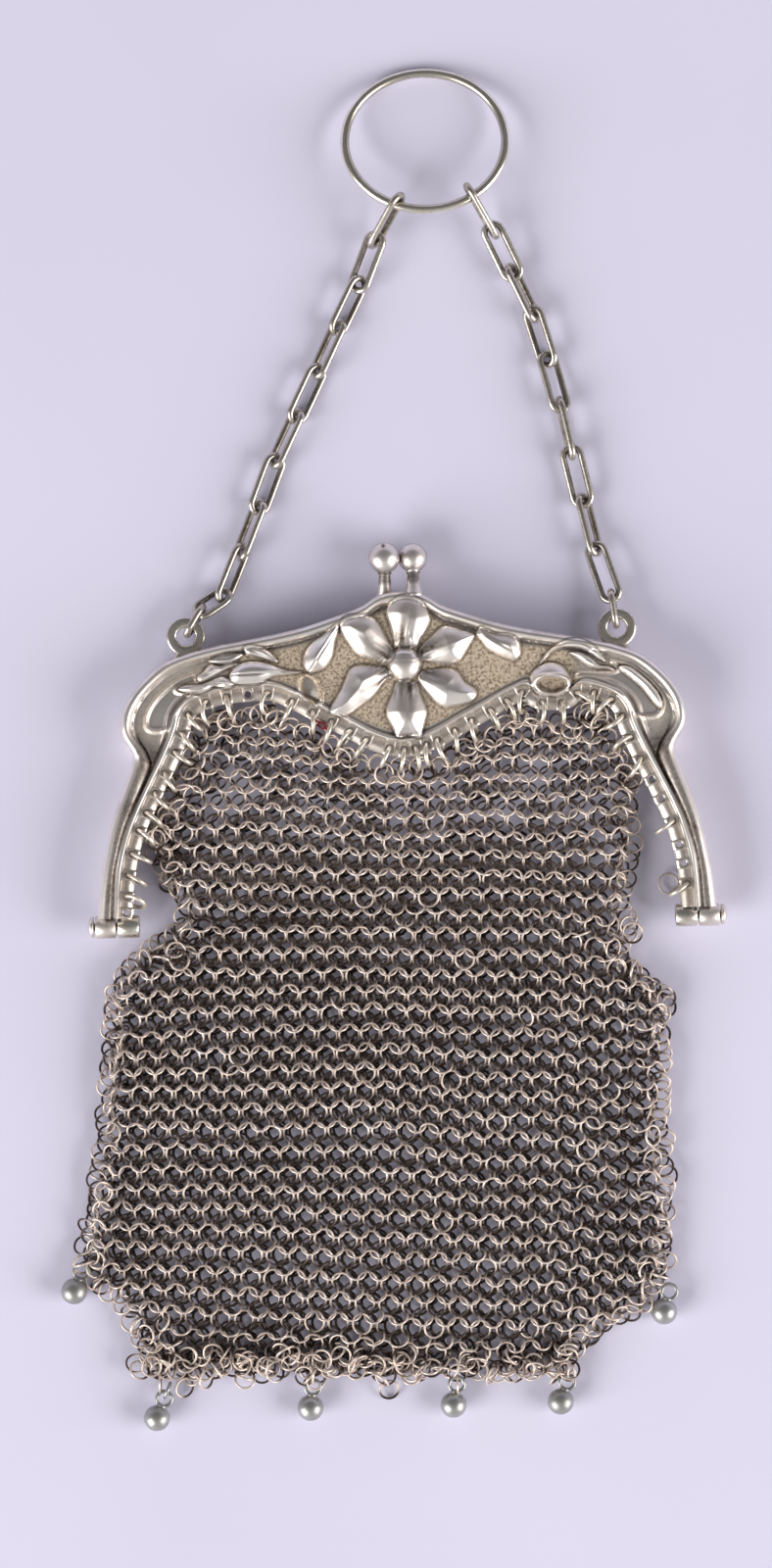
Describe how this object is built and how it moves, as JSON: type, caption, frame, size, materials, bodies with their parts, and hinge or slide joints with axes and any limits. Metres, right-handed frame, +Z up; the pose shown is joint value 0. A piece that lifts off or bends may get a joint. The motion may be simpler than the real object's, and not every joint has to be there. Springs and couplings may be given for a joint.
{
  "type": "metal mesh purse",
  "caption": "Arched two-part purse frame with raised flower, kiss-lock, hollow mesh bag with ball drops, and two link chains to a finger ring, lying on its back.",
  "frame": {"origin": "on the surface that the purse lies on, under the middle of its bounding box", "axes": "+X across the purse to the right, +Y from the hinges towards the finger ring, +Z up out of the front"},
  "size_m": [0.103, 0.208, 0.0084],
  "materials": {
    "front_silver": "cast silver, polished high points, warm dull recesses",
    "back_silver": "plain worn silver",
    "ring_silver": "drawn wire, worn bright",
    "chain_silver": "tarnished wire with bright worn ends",
    "mail": "tarnished mail rings",
    "drop_grey": "dull grey metal, satin"
  },
  "bodies": {
    "root": {"front_frame": "front_silver", "back_frame": "back_silver", "hinge_pin_left": "front_silver", "hinge_pin_right": "front_silver", "chain_left_01": "chain_silver", "chain_left_02": "chain_silver", "chain_left_03": "chain_silver", "chain_left_04": "chain_silver", "chain_left_05": "chain_silver", "chain_left_06": "chain_silver", "chain_left_07": "chain_silver", "chain_left_08": "chain_silver", "chain_left_09": "chain_silver", "chain_left_10": "chain_silver", "chain_left_end": "chain_silver", "chain_right_01": "chain_silver", "chain_right_02": "chain_silver", "chain_right_03": "chain_silver", "chain_right_04": "chain_silver", "chain_right_05": "chain_silver", "chain_right_06": "chain_silver", "chain_right_07": "chain_silver", "chain_right_08": "chain_silver", "chain_right_09": "chain_silver", "chain_right_end": "chain_silver", "finger_ring": "ring_silver", "mesh_bag": "mail", "drop_1": "drop_grey", "drop_2_link": "drop_grey", "drop_2": "drop_grey", "drop_3": "drop_grey", "drop_4": "drop_grey", "drop_5": "drop_grey", "drop_6": "drop_grey"}
  },
  "joints": []
}
